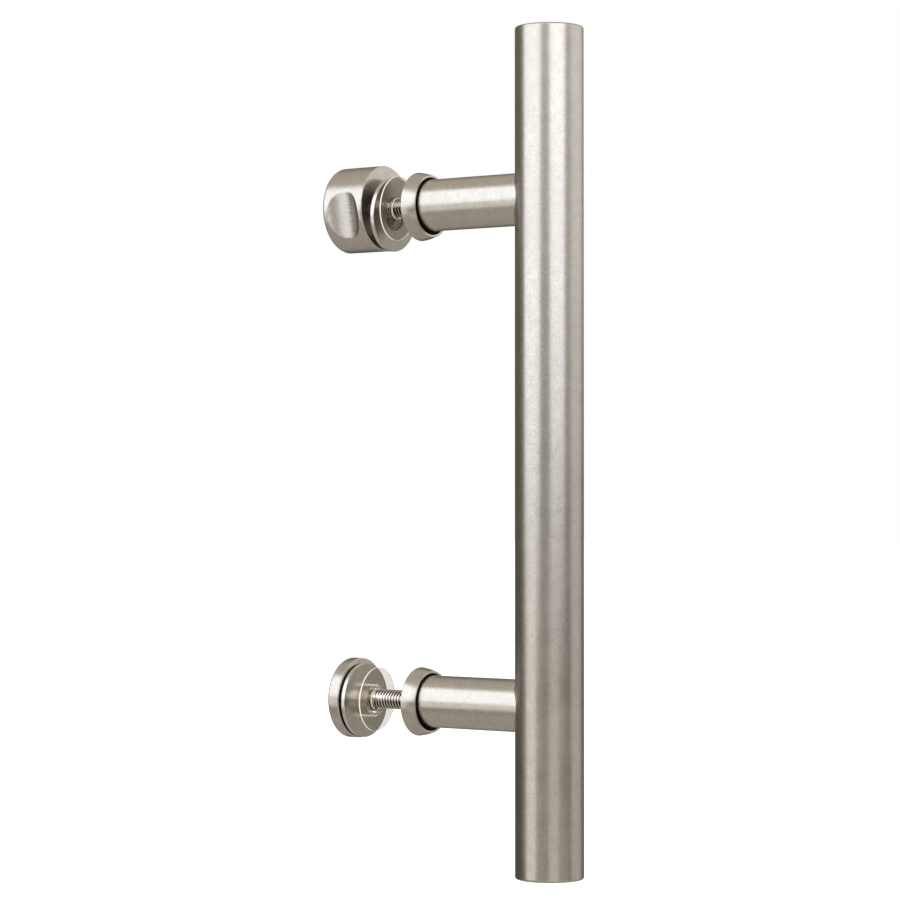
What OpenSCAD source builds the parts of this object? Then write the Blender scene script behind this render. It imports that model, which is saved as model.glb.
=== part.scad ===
// Round bar pull that bolts through a glass sliding door: a bar on two posts, with a knob
// and a cap on the far ends of its studs. It is drawn as it comes, with both studs slack.
// The door's face is the plane y = 0, midway between the studs. The bar stands at -Y,
// the knob and cap are at +Y, and +Z is up.

/* [Bar] */
// Outside diameter of the bar's tube
bar_d = 27.5; // [24:0.1:36]
// Overall length of the bar
bar_l = 339.2; // [280:0.2:480]
// Wall of the tube
bar_wall = 1.5; // [1.1:0.1:2.5]
// Rounding of the tube's outer end edges
bar_edge = 0.9; // [0.2:0.1:1]
// Thickness of each end plug's plate
plug_t = 2.5; // [1.5:0.1:5]
// Length of each end plug inside the tube
plug_l = 10; // [6:0.5:20]
// Wall of the end plug's skirt
plug_wall = 1.6; // [1:0.1:3]

/* [Posts] */
// Distance between the two stud axes
stud_pitch = 203.2; // [160:0.1:240]
// Distance from the door's face to the bar's axis
stand_off = 63; // [55:0.5:90]
// Diameter of each post
post_d = 21.2; // [18:0.1:23]
// Chamfer on each post's door end
post_chamfer = 0.5; // [0.2:0.1:1]
// Thread engaged between a stud and its post
stud_hold = 18; // [8:0.5:20]

/* [Post screws] */
// Thread diameter of the screw inside the bar
screw_d = 6; // [5:0.5:8]
// Thread engaged between the screw and its post
screw_hold = 12; // [6:0.5:12]
// Diameter of the screw's head
screw_head_d = 10; // [9:0.1:12]
// Height of the screw's head
screw_head_l = 6; // [4:0.1:8]
// Width across the flats of the screw's socket
screw_key = 5; // [3:0.1:6]
// Depth of the screw's socket
screw_key_depth = 3; // [1.5:0.1:3.5]
// Diameter of the saddle washer under the head
saddle_d = 14; // [12.5:0.1:16]
// Thickness of the saddle washer at its middle
saddle_t = 3; // [2.8:0.1:4]

/* [Collars] */
// Diameter of each collar at the door
collar_d = 28.2; // [26.4:0.1:34]
// Length of each collar
collar_l = 6.1; // [4:0.1:9]
// Width of the collar's lip round the seat ring
collar_lip = 0.9; // [0.2:0.1:1.2]
// Radius of the crowned side, seen in section
collar_crown_r = 25; // [12:0.5:60]
// Rounding of the collar's edge at the door
collar_edge = 0.4; // [0.2:0.1:0.6]
// Bore of each collar and seat ring, which hang from the stud while it is slack
collar_bore = 8.6; // [8.3:0.1:9.4]
// Diameter of the black seat ring between collar and post
seat_d = 23.4; // [22.6:0.1:24.2]
// Thickness of the seat ring
seat_t = 1.5; // [0.8:0.1:2.5]
// How far the seat ring lies below the collar's lip
seat_sunk = 0.7; // [0.2:0.1:1.2]

/* [Studs] */
// Thread diameter of both studs, 5/16 inch
stud_d = 7.94; // [6:0.01:8.2]
// Chamfer on each end of a stud
stud_chamfer = 0.8; // [0.3:0.1:1.2]
// Bare stud between the upper collar and its clear washer
upper_gap = 10.9; // [6:0.1:20]
// Bare stud between the lower collar and its clear washer
lower_gap = 21.3; // [6:0.1:25]

/* [Washers] */
// Diameter of each clear washer
clear_d = 26.4; // [20:0.1:29]
// Thickness of each clear washer
clear_t = 0.7; // [0.5:0.1:1.5]
// Hole of each clear washer
clear_bore = 8.6; // [8.4:0.1:10]
// Diameter of each metal washer
disc_d = 30.6; // [24:0.1:33]
// Thickness of each metal washer
disc_t = 1.8; // [1:0.1:3]
// Chamfer round each metal washer's edges
disc_chamfer = 0.25; // [0.1:0.05:0.4]
// Outside diameter of each clear sleeve, which lines a hole in the glass
sleeve_d = 13.3; // [11.5:0.1:14.5]
// Bore of each clear sleeve
sleeve_bore = 9.8; // [8.4:0.1:10.5]
// Length of each clear sleeve
sleeve_l = 7.2; // [5:0.1:10]
// Chamfer round each clear sleeve's ends
sleeve_edge = 0.2; // [0.1:0.05:0.4]
// Lean of the upper washers on the slack stud, with the top towards the collar
upper_lean = 4; // [0:0.5:6]
// Lean of the lower clear washer, with the top towards the collar
lower_lean = 2; // [0:0.5:4]
// Turn of both clear washers to one side, as they were left
clear_swing = 2.5; // [0:0.5:4]

/* [Knob] */
// Diameter of the knob
knob_d = 35.4; // [30:0.1:42]
// Length of the knob
knob_l = 19.9; // [18:0.1:26]
// Rounding of the knob's outer edge
knob_edge = 1.1; // [0.3:0.1:2]
// Rounding of the knob's edge at the door
knob_rim = 0.5; // [0.2:0.1:1]
// Slack between the knob and its metal washer
knob_slack = 3; // [0.5:0.1:5]
// Thread engaged between the knob and its stud
knob_hold = 8; // [4:0.1:8.5]
// Radius of the cutter that scoops the grips
scoop_r = 11.5; // [8:0.1:14]
// Depth of each scooped grip
scoop_depth = 3.1; // [1:0.1:3.8]
// Middle of the scoops, from the knob's face at the door
scoop_at = 9.7; // [8.8:0.1:10.8]
// Turn of the knob on its stud, as it was left
knob_turn = 12.4; // [0:0.1:45]

/* [Cap] */
// Diameter of the cap
cap_d = 33.1; // [28:0.1:40]
// Length of the cap
cap_l = 5.3; // [4.8:0.1:10]
// Rounding of the cap's outer edge
cap_edge = 0.8; // [0.2:0.1:1.5]
// Rounding of the cap's edge at the door
cap_rim = 0.4; // [0.2:0.1:0.8]
// Slack between the cap and its metal washer
cap_slack = 0.7; // [0.3:0.1:1.5]
// Thread engaged between the cap and its stud
cap_hold = 3.5; // [2:0.1:3.6]

/* [Fits] */
// Radial gap between an engaged thread and its hole
thread_gap = 0.05; // [0.02:0.01:0.1]
// Gap between pieces that are pressed or seated together
seat_gap = 0.05; // [0.02:0.01:0.1]
// Radial gap round a screw or stud where it passes through
pass_gap = 0.35; // [0.2:0.05:0.4]
// Depth left under the end of a thread in a blind hole
drill_gap = 0.7; // [0.3:0.1:1]

/* [Hidden] */
$fn = 96;

nickel = [0.72, 0.69, 0.64];
steel = [0.55, 0.55, 0.56];
black = [0.05, 0.05, 0.05];
clear = [0.88, 0.9, 0.9, 0.4];

// Radii
bar_r = bar_d / 2;
bore_r = bar_r - bar_wall;
stud_r = stud_d / 2;
tap_r = stud_r + thread_gap;
screw_r = screw_d / 2;

// Stations along Y, from the bar to the knob and cap
bar_y = -stand_off;
collar_y = -collar_l;
post_y = collar_y + seat_sunk;
saddle_y = bar_y + bore_r - saddle_t;
stud_y = post_y - stud_hold;
recess_l = sleeve_l + drill_gap;

// What hangs loose on a stud drops until its bore, of diameter d and length l, rests on it.
// A lean lowers the edge that it rests on.
function drop_of(d, l, lean = 0) = (d * cos(lean) - l * sin(lean)) / 2 - stud_r - seat_gap;

collar_drop = drop_of(collar_bore, collar_l);
sleeve_drop = drop_of(sleeve_bore, sleeve_l);
upper_clear_drop = drop_of(clear_bore, clear_t, upper_lean);
lower_clear_drop = drop_of(clear_bore, clear_t, lower_lean);
disc_bore = sleeve_d + 4 * seat_gap;
upper_disc_drop = drop_of(disc_bore, disc_t, upper_lean);
lower_disc_drop = sleeve_drop + seat_gap;
// The recess in the knob holds the sleeve where it hangs
recess_r = sleeve_d / 2 + sleeve_drop + pass_gap;

// The upper metal washer stands back until the clear one, turned by its swing, just touches it.
// Both stations are those of a washer's middle.
upper_clear_y = upper_gap + clear_t / 2;
swing_reach = (clear_d * sin(clear_swing) + clear_t * cos(clear_swing)) / 2;
drop_reach = (upper_disc_drop - upper_clear_drop) * sin(upper_lean);
upper_disc_y = upper_clear_y
    + (disc_t / 2 + seat_gap + swing_reach + drop_reach) / cos(upper_lean);
knob_y = upper_disc_y + disc_t / 2 + knob_slack;
upper_sleeve_y = knob_y + drill_gap / 2;
upper_stud_l = knob_y + recess_l + knob_hold - stud_y;

// The lower sleeve stands back until its end just touches the leaning clear washer
lower_clear_y = lower_gap + clear_t / 2;
lower_axis = cos(clear_swing) * cos(lower_lean);
sleeve_reach = sleeve_d / 2 * sqrt(1 - pow(lower_axis, 2));
sleeve_fall = cos(clear_swing) * sin(lower_lean) * (sleeve_drop - lower_clear_drop);
lower_sleeve_y = lower_clear_y
    + (clear_t / 2 + seat_gap + sleeve_reach + sleeve_fall) / lower_axis;
cap_y = lower_sleeve_y + sleeve_l + seat_gap;
lower_disc_y = cap_y - cap_slack - disc_t / 2;
lower_stud_l = cap_y + cap_hold - stud_y;

// Stands a turned shape on its axis, with its base at y and its top towards +Y
module along_y(y, drop = 0) {
    translate([0, y, -drop]) rotate([-90, 0, 0]) children();
}

// Hangs a washer of thickness t with its middle at y, leaning and then swung about its own middle
module hang(y, drop, t, lean, swing) {
    translate([0, y, -drop]) rotate([lean, 0, 0]) rotate([0, 0, swing]) along_y(-t / 2) children();
}

module at_upper() {
    translate([0, 0, stud_pitch / 2]) children();
}

module at_lower() {
    translate([0, 0, -stud_pitch / 2]) children();
}

// Turned blank of radius r and length l, rounded by low at its base and by high at its top
module turned(r, l, low, high) {
    rotate_extrude() {
        translate([0, low]) square([r, l - low - high]);
        square([r - low, l]);
        square([r - high, l]);
        intersection() {
            square([r, l]);
            union() {
                translate([r - low, low]) circle(r = low);
                translate([r - high, l - high]) circle(r = high);
            }
        }
    }
}

// Flat ring of outer diameter d, hole h and thickness t, with its outer edges chamfered by c
module ring(d, h, t, c) {
    difference() {
        union() {
            cylinder(d1 = d - 2 * c, d2 = d, h = c);
            translate([0, 0, c]) cylinder(d = d, h = t - 2 * c);
            translate([0, 0, t - c]) cylinder(d1 = d, d2 = d - 2 * c, h = c);
        }
        translate([0, 0, -1]) cylinder(d = h, h = t + 2);
    }
}

// Plain rod that stands for a threaded one, with chamfered ends
module threaded_rod(r, l, c) {
    cylinder(r1 = r - c, r2 = r, h = c);
    translate([0, 0, c]) cylinder(r = r, h = l - 2 * c);
    translate([0, 0, l - c]) cylinder(r1 = r, r2 = r - c, h = c);
}

// Tube with rounded ends and a hole for each post's screw in the side towards the door
module bar_tube() {
    color(nickel) difference() {
        translate([0, bar_y, -bar_l / 2]) turned(bar_r, bar_l, bar_edge, bar_edge);
        translate([0, bar_y, -bar_l / 2 - 1]) cylinder(r = bore_r, h = bar_l + 2);
        for (side = [-1, 1]) {
            translate([0, 0, side * stud_pitch / 2]) along_y(bar_y)
                cylinder(r = screw_r + pass_gap, h = bar_d);
        }
    }
}

// Drawn cup pressed into the tube until its plate is flush with the tube's end
module end_plug() {
    r = bore_r - seat_gap;
    color(nickel) difference() {
        translate([0, 0, -plug_l]) cylinder(r = r, h = plug_l);
        translate([0, 0, -plug_l - 1]) cylinder(r = r - plug_wall, h = plug_l - plug_t + 1);
    }
}

module top_end_plug() {
    translate([0, bar_y, bar_l / 2]) end_plug();
}

module bottom_end_plug() {
    translate([0, bar_y, -bar_l / 2]) rotate([180, 0, 0]) end_plug();
}

// Post whose bar end is coped to the tube, tapped at one end for the stud and at the other
// for the screw inside the bar
module post() {
    l = post_y - bar_y;
    color(nickel) difference() {
        along_y(bar_y) union() {
            cylinder(d = post_d, h = l - post_chamfer);
            translate([0, 0, l - post_chamfer])
                cylinder(d1 = post_d, d2 = post_d - 2 * post_chamfer, h = post_chamfer);
        }
        translate([0, bar_y, -post_d]) cylinder(r = bar_r + seat_gap, h = 2 * post_d);
        along_y(bar_y) cylinder(r = screw_r + thread_gap, h = bar_r + screw_hold + drill_gap);
        along_y(stud_y - drill_gap) cylinder(r = tap_r, h = stud_hold + drill_gap + 1);
    }
}

module upper_post() {
    at_upper() post();
}

module lower_post() {
    at_lower() post();
}

// Washer with a flat face for the screw's head and a round one that fits the tube's bore
module saddle_washer() {
    color(steel) difference() {
        intersection() {
            along_y(saddle_y) cylinder(d = saddle_d, h = saddle_t);
            translate([0, bar_y, -saddle_d]) cylinder(r = bore_r - seat_gap, h = 2 * saddle_d);
        }
        along_y(saddle_y - 1) cylinder(r = screw_r + pass_gap, h = saddle_t + 2);
    }
}

module upper_saddle_washer() {
    at_upper() saddle_washer();
}

module lower_saddle_washer() {
    at_lower() saddle_washer();
}

// Socket-head screw that draws the post onto the bar from inside the tube
module post_screw() {
    l = saddle_t + bar_wall + screw_hold;
    color(steel) difference() {
        union() {
            along_y(saddle_y - screw_head_l) cylinder(d = screw_head_d, h = screw_head_l);
            along_y(saddle_y) cylinder(r = screw_r, h = l);
        }
        along_y(saddle_y - screw_head_l - 1)
            cylinder(d = screw_key / cos(30), h = screw_key_depth + 1, $fn = 6);
    }
}

module upper_post_screw() {
    at_upper() post_screw();
}

module lower_post_screw() {
    at_lower() post_screw();
}

// Black ring in the collar's recess, which the post's end bears on
module seat_ring() {
    color(black) along_y(post_y, collar_drop) ring(seat_d, collar_bore, seat_t, seat_t / 8);
}

module upper_seat_ring() {
    at_upper() seat_ring();
}

module lower_seat_ring() {
    at_lower() seat_ring();
}

// Section of the collar's crowned side, from the post's side at 0 to the door at collar_l:
// an arc of collar_crown_r through both edges
module collar_section() {
    low_r = seat_d / 2 + seat_gap + collar_lip;
    high_r = collar_d / 2;
    rise = high_r - low_r;
    chord = norm([rise, collar_l]);
    back = sqrt(pow(collar_crown_r, 2) - pow(chord / 2, 2));
    middle = [(low_r + high_r) / 2, collar_l / 2];
    centre = middle + back * [-collar_l, rise] / chord;
    intersection() {
        square([collar_d, collar_l]);
        translate(centre) circle(r = collar_crown_r, $fn = 360);
    }
}

// Collar that spreads the post's load on the glass, recessed for the seat ring and post
module collar() {
    color(nickel) along_y(collar_y, collar_drop) difference() {
        rotate_extrude() difference() {
            collar_section();
            difference() {
                translate([collar_d / 2 - collar_edge, collar_l - collar_edge])
                    square(2 * collar_edge);
                translate([collar_d / 2 - collar_edge, collar_l - collar_edge])
                    circle(r = collar_edge);
            }
        }
        translate([0, 0, -1]) cylinder(d = collar_bore, h = collar_l + 2);
        translate([0, 0, -1]) cylinder(r = seat_d / 2 + seat_gap, h = seat_sunk + seat_t + 1);
    }
}

module upper_collar() {
    at_upper() collar();
}

module lower_collar() {
    at_lower() collar();
}

module upper_stud() {
    color(nickel) at_upper() along_y(stud_y) threaded_rod(stud_r, upper_stud_l, stud_chamfer);
}

module lower_stud() {
    color(nickel) at_lower() along_y(stud_y) threaded_rod(stud_r, lower_stud_l, stud_chamfer);
}

// Soft clear washer that keeps metal off the glass
module clear_washer(y, drop, lean) {
    color(clear) hang(y, drop, clear_t, lean, clear_swing)
        ring(clear_d, clear_bore, clear_t, clear_t / 8);
}

module upper_clear_washer() {
    at_upper() clear_washer(upper_clear_y, upper_clear_drop, upper_lean);
}

module lower_clear_washer() {
    at_lower() clear_washer(lower_clear_y, lower_clear_drop, lower_lean);
}

// Metal washer that backs the clear one
module metal_washer(y, drop, lean) {
    color(nickel) hang(y, drop, disc_t, lean, 0) ring(disc_d, disc_bore, disc_t, disc_chamfer);
}

module upper_metal_washer() {
    at_upper() metal_washer(upper_disc_y, upper_disc_drop, upper_lean);
}

module lower_metal_washer() {
    at_lower() metal_washer(lower_disc_y, lower_disc_drop, 0);
}

// Clear sleeve that keeps the stud off the edge of the hole in the glass
module clear_sleeve(y) {
    color(clear) along_y(y, sleeve_drop) ring(sleeve_d, sleeve_bore, sleeve_l, sleeve_edge);
}

module upper_clear_sleeve() {
    at_upper() clear_sleeve(upper_sleeve_y);
}

module lower_clear_sleeve() {
    at_lower() clear_sleeve(lower_sleeve_y);
}

// Turned knob with a scooped grip on each side, recessed for the sleeve and tapped
module knob() {
    color(nickel) at_upper() difference() {
        along_y(knob_y) turned(knob_d / 2, knob_l, knob_rim, knob_edge);
        along_y(knob_y - 1) cylinder(r = recess_r, h = recess_l + 1);
        along_y(knob_y) cylinder(r = tap_r, h = recess_l + knob_hold + drill_gap);
        rotate([0, -knob_turn, 0]) for (side = [-1, 1]) {
            translate([side * (knob_d / 2 - scoop_depth + scoop_r), knob_y + scoop_at, 0])
                cylinder(r = scoop_r, h = knob_d, center = true);
        }
    }
}

// Flat round cap nut
module lower_cap() {
    color(nickel) at_lower() difference() {
        along_y(cap_y) turned(cap_d / 2, cap_l, cap_rim, cap_edge);
        along_y(cap_y - 1) cylinder(r = tap_r, h = cap_hold + drill_gap + 1);
    }
}

bar_tube();
top_end_plug();
bottom_end_plug();
upper_post();
lower_post();
upper_saddle_washer();
lower_saddle_washer();
upper_post_screw();
lower_post_screw();
upper_seat_ring();
lower_seat_ring();
upper_collar();
lower_collar();
upper_stud();
lower_stud();
upper_clear_washer();
lower_clear_washer();
upper_metal_washer();
lower_metal_washer();
upper_clear_sleeve();
lower_clear_sleeve();
knob();
lower_cap();
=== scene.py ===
# %% [markdown]
# # A round bar pull for a glass sliding door
#
# The pull is a long round bar on two posts. Behind each post a collar meets the glass, and a threaded stud goes
# through it. A scooped knob and a flat cap screw onto the studs on the far side, over metal and clear washers.
# Nearly every piece was turned in a lathe or drawn as a tube, so nearly every mesh here is a section carried
# round an axis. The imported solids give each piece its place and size, and this script gives it its edges,
# threads and finish.

from math import atan2, cos, pi, radians, sin

import bmesh
import bpy
import numpy as np
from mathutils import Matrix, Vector


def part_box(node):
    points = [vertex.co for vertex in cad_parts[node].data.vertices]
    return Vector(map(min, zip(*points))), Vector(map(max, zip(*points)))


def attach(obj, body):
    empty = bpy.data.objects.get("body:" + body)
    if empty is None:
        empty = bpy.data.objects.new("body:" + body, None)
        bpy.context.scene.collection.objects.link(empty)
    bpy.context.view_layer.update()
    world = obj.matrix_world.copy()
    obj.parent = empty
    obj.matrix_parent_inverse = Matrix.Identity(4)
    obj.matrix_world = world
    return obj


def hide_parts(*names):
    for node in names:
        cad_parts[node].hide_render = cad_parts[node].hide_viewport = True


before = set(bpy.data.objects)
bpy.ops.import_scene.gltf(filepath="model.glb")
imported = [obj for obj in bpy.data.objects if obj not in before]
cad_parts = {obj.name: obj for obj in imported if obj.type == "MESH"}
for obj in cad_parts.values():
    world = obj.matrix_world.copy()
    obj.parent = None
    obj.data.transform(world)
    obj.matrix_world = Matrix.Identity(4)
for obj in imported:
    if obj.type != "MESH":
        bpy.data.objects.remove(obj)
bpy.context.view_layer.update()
MM = 0.001

# %% [markdown]
# ## The camera
#
# The picture was taken from a little over a metre away with a long lens, turned well round towards the far side
# of the door, so the studs run away to the left. The view's angle, its distance and the lens were worked out
# from the rims of the turned pieces, which show as ellipses. The lens is given for a sensor 36 mm wide. A long
# lens is the right choice here, because a near one would make the lower post lean away from the upper one.

# %% Camera at the photograph's angle
VIEW_TURN = radians(-55.56)
VIEW_RISE = radians(-0.8)
VIEW_DISTANCE = 1151 * MM
AIM_RIGHT = 12.37 * MM
AIM_UP = 1.32 * MM

camera_right = Vector((cos(VIEW_TURN), sin(VIEW_TURN), 0))
camera_back = Vector((sin(VIEW_TURN) * cos(VIEW_RISE), -cos(VIEW_TURN) * cos(VIEW_RISE), sin(VIEW_RISE)))
aim = camera_right * AIM_RIGHT + Vector((0, 0, AIM_UP))

camera = bpy.data.objects.new("camera", bpy.data.cameras.new("camera"))
camera.data.sensor_width = 36
camera.data.lens = 112
camera.location = aim + camera_back * VIEW_DISTANCE
camera.rotation_euler = camera_back.to_track_quat("Z", "Y").to_euler()
bpy.context.scene.collection.objects.link(camera)
bpy.context.scene.camera = camera
print("camera in mm:", [round(v / MM, 1) for v in camera.location])

# %% [markdown]
# ## From a section to a surface
#
# A turned piece is fully described by its section: the outline that the lathe tool follows. Real edges are never
# quite sharp, and it is the small rounds that catch the light as thin bright lines. So a section is written as
# its few corners, each with a radius, and the rounds are worked out. Two more points close beside each round
# keep the smooth shading of the flat next to it flat.

# %% Rounded sections
ROUND_STEPS = 6


def rounded(corners, closed=False):
    """Points of an outline whose corners are (along, radius, round) triples, in metres.

    At a corner P with unit directions a and b to its neighbours, a round of radius q touches both sides at
    q / tan(half the angle between them) from P. Its centre lies on the bisector, at q / sin(half the angle)
    from P, and its points are the directions to the two touching points blended on a circle.
    """
    corners = np.asarray(corners, float)
    count = len(corners)
    t = np.linspace(0, 1, ROUND_STEPS + 1)[:, None]
    points = []
    for k, (s, r, q) in enumerate(corners):
        corner = np.array([s, r])
        at_end = not closed and k in (0, count - 1)
        if at_end or q <= 0:
            points.append(corner[None])
            continue
        to_before = corners[k - 1, :2] - corner
        to_after = corners[(k + 1) % count, :2] - corner
        a = to_before / np.linalg.norm(to_before)
        b = to_after / np.linalg.norm(to_after)
        half = np.arccos(np.clip(a @ b, -1, 1)) / 2
        touch = q / np.tan(half)
        bisector = (a + b) / np.linalg.norm(a + b)
        centre = corner + bisector * q / np.sin(half)
        first = (corner + a * touch - centre) / q
        last = (corner + b * touch - centre) / q
        sweep = pi - 2 * half
        arc = (np.sin((1 - t) * sweep) * first + np.sin(t * sweep) * last) / np.sin(sweep)
        beside = touch + q / 4
        points.append(np.concatenate([[corner + a * beside], centre + q * arc, [corner + b * beside]]))
    return np.concatenate(points)


print("a rounded corner has", len(rounded([(0, 0, 0), (1, 0, 0.1), (1, 1, 0)])) - 2, "points")

# %% [markdown]
# ## From a surface to a piece
#
# Every piece below is a grid of points, row by row along the section and column by column round the axis. One
# function turns any such grid into a mesh. It joins the last column to the first, and the last row to the first
# where the section is a closed ring. A row that lies wholly on the axis becomes one point, which closes the
# piece. Each point also keeps its place in the lathe: where it lies round the axis, and how far along. A finish
# that follows the tool's path can be worked out from that.

# %% Grid to mesh, and a piece in its place
MERGE = 1e-7
SHARP_ANGLE = radians(35)
made = []


def grid_mesh(name, points, ring=False, marks=None, lead=0):
    """Mesh of a grid of points[row, column], closed round its columns, and round its rows if it is a ring.

    lead is how many rows further on the last column joins the first, which is what makes a helix. marks are
    named values for each grid point, kept on the mesh as attributes. Points that fall together, as they do at
    a pole, are merged, and the faces are then turned outwards.
    """
    rows, columns = points.shape[:2]
    row = np.arange(rows if ring else rows - 1)[:, None]
    column = np.arange(columns)[None, :]
    beside = (column + 1) % columns
    ahead = row + lead * (beside == 0)
    corners = [(row, column), (ahead, beside), (ahead + 1, beside), (row + 1, column)]
    quads = np.stack([(r % rows) * columns + c for r, c in corners], axis=-1)
    kept = np.broadcast_to(ring | (ahead + 1 < rows), quads.shape[:2])
    quads = quads[kept]
    mesh = bpy.data.meshes.new(name)
    mesh.from_pydata(points.reshape(-1, 3).tolist(), [], quads.tolist())
    for key, values in (marks or {}).items():
        layer = mesh.attributes.new(key, "FLOAT_VECTOR" if values.ndim == 3 else "FLOAT", "POINT")
        layer.data.foreach_set("vector" if values.ndim == 3 else "value", values.astype(np.float32).ravel())
    work = bmesh.new()
    work.from_mesh(mesh)
    bmesh.ops.remove_doubles(work, verts=work.verts, dist=MERGE)
    bmesh.ops.dissolve_degenerate(work, edges=work.edges, dist=MERGE)
    bmesh.ops.recalc_face_normals(work, faces=work.faces)
    work.to_mesh(mesh)
    work.free()
    mesh.shade_smooth()
    mesh.set_sharp_from_angle(angle=SHARP_ANGLE)
    return mesh


def piece(name, mesh):
    """Puts a finished mesh in the scene as the piece that stands for the node of the same name."""
    thing = bpy.data.objects.new(name + "_finished", mesh)
    bpy.context.scene.collection.objects.link(thing)
    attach(thing, "root")
    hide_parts(name)
    made.append(thing)
    print(f"{name}: {len(mesh.vertices)} points, {sum(len(p.vertices) - 2 for p in mesh.polygons)} triangles")
    return thing


# %% [markdown]
# ## Turning a section
#
# The fasteners all turn about level lines that run through the door, along Y, and the bar stands upright, along
# Z. The same section function serves both: it only has to know which way the axis points. What the lathe leaves
# is kept as well, as the sine and cosine of each point's angle and its length along the section. Those three
# have no seam, so a pattern made from them runs round the piece unbroken.

# %% Turned pieces
AROUND = 192


def turned(section, centre, upright=False, columns=AROUND):
    """Grid of a section[point] = (along, radius) carried round an axis through centre.

    The point at angle w is radius * cos(w) to one side, radius * sin(w) to the other and along on the axis,
    which is Y, or Z if the piece is upright.
    """
    w = np.linspace(0, 2 * pi, columns, endpoint=False)[None, :]
    along = np.repeat(section[:, :1], columns, axis=1)
    across = section[:, 1:] * np.cos(w)
    other = section[:, 1:] * np.sin(w)
    places = [across, other, along] if upright else [across, along, other]
    return np.stack(places, axis=-1) + np.array(centre)


def lathe_marks(section, columns=AROUND):
    """The tool's path: cos and sin of each point's angle, and its length along the section in millimetres."""
    w = np.linspace(0, 2 * pi, columns, endpoint=False)[None, :]
    steps = np.linalg.norm(np.diff(section, axis=0), axis=1)
    length = np.concatenate([[0], np.cumsum(steps)])[:, None] / MM
    rows = np.ones_like(length)
    return {"lathe": np.stack([rows * np.cos(w), rows * np.sin(w), length * np.ones_like(w)], axis=-1)}


def turned_piece(name, corners, centre, upright=False, ring=False):
    """Makes the piece that a section's corners describe. A ring's section is a closed outline."""
    section = rounded(corners, closed=ring)
    mesh = grid_mesh(name, turned(section, centre, upright), ring, lathe_marks(section))
    return piece(name, mesh)


def middle(node):
    """Half sizes and middle of a node's box."""
    low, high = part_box(node)
    return (high - low) / 2, (high + low) / 2


# %% [markdown]
# ## The bar
#
# The grip is a drawn tube with a turned edge at each end, closed by a pressed plug. Inside, facing each post, is
# a hole for the screw that holds the post. A tube with a hole in its wall isn't a turned shape any more, so the
# holes are drilled afterwards with a Boolean. Rows of points are set close above and below each hole first:
# without them the cut would run its long thin faces up the whole bar and spoil its reflections.

# %% The bar's tube
SEAT_GAP = 0.05 * MM
BAR_EDGE = 0.9 * MM
BORE_EDGE = 0.25 * MM
SCREW_HOLE_R = 3.35 * MM
HOLE_CLEAR = 1.5 * MM

bar_half, bar_mid = middle("bar_tube")
plug_half, plug_mid = middle("top_end_plug")
post_half, post_mid = middle("upper_post")
bar_r = bar_half.x
bore_r = plug_half.x + SEAT_GAP
bar_end = bar_half.z
stud_z = post_mid.z

near_holes = [side * stud_z + edge * (SCREW_HOLE_R + HOLE_CLEAR) for side in (-1, 1) for edge in (-1, 1)]
outside = [(z, bar_r, 0) for z in near_holes]
inside = [(z, bore_r, 0) for z in reversed(near_holes)]
tube_corners = [(-bar_end, bar_r, BAR_EDGE), *outside, (bar_end, bar_r, BAR_EDGE),
                (bar_end, bore_r, BORE_EDGE), *inside, (-bar_end, bore_r, BORE_EDGE)]
bar = turned_piece("bar_tube", tube_corners, (0, bar_mid.y, 0), upright=True, ring=True)

# %% Holes for the post screws
DRILL_SIDES = 48


def drill(thing, centre, radius, start, end):
    """Cuts a straight round hole along Y out of a piece, and keeps the cut's edges sharp."""
    section = np.array([(start, 0), (start, radius), (end, radius), (end, 0)])
    mesh = grid_mesh("drill", turned(section, centre, columns=DRILL_SIDES))
    bit = bpy.data.objects.new("drill", mesh)
    bpy.context.scene.collection.objects.link(bit)
    cut = thing.modifiers.new("hole", "BOOLEAN")
    cut.object = bit
    cut.operation = "DIFFERENCE"
    cut.solver = "EXACT"
    shaped = bpy.data.meshes.new_from_object(thing.evaluated_get(bpy.context.evaluated_depsgraph_get()))
    thing.modifiers.clear()
    thing.data = shaped
    thing.data.set_sharp_from_angle(angle=SHARP_ANGLE)
    bpy.data.objects.remove(bit)


for side in (-1, 1):
    drill(bar, (0, 0, side * stud_z), SCREW_HOLE_R, bar_mid.y, bar_mid.y + 2 * bar_r)
print("bar after drilling:", len(bar.data.polygons), "faces")

# %% The end plugs
PLUG_EDGE = 0.35 * MM
PLUG_PLATE = 2.5 * MM
PLUG_WALL = 1.6 * MM
PLUG_INNER_ROUND = 0.8 * MM

for node in ("top_end_plug", "bottom_end_plug"):
    half, mid = middle(node)
    up = 1 if mid.z > 0 else -1
    face = up * half.z
    plug_corners = [(face, 0, 0), (face, half.x, PLUG_EDGE), (-face, half.x, PLUG_EDGE),
                    (-face, half.x - PLUG_WALL, PLUG_EDGE),
                    (face - up * PLUG_PLATE, half.x - PLUG_WALL, PLUG_INNER_ROUND), (face - up * PLUG_PLATE, 0, 0)]
    turned_piece(node, plug_corners, mid, upright=True)

# %% [markdown]
# ## The posts
#
# Each post's bar end is coped: it is cut to a hollow saddle that fits round the tube. At a point x to the side
# of the post's axis, the tube's surface is sqrt(R squared - x squared) from the bar's axis. So the post is a
# turned grid whose rows near the bar don't stop at one station, but each at the saddle plus a small offset. The
# offsets follow a quarter circle, which rounds the saddle's rim. That small round is what shows in the
# photograph as a dark line between post and bar.

# %% Coped posts
COPE_EDGE = 0.35 * MM
POST_CHAMFER = 0.5 * MM
CHAMFER_ROUND = 0.12 * MM
TAP_SCREW_R = 3.05 * MM
SCREW_HOLE_L = 12.7 * MM
TAP_STUD_R = 4.02 * MM
STUD_HOLE_L = 18.7 * MM


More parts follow.
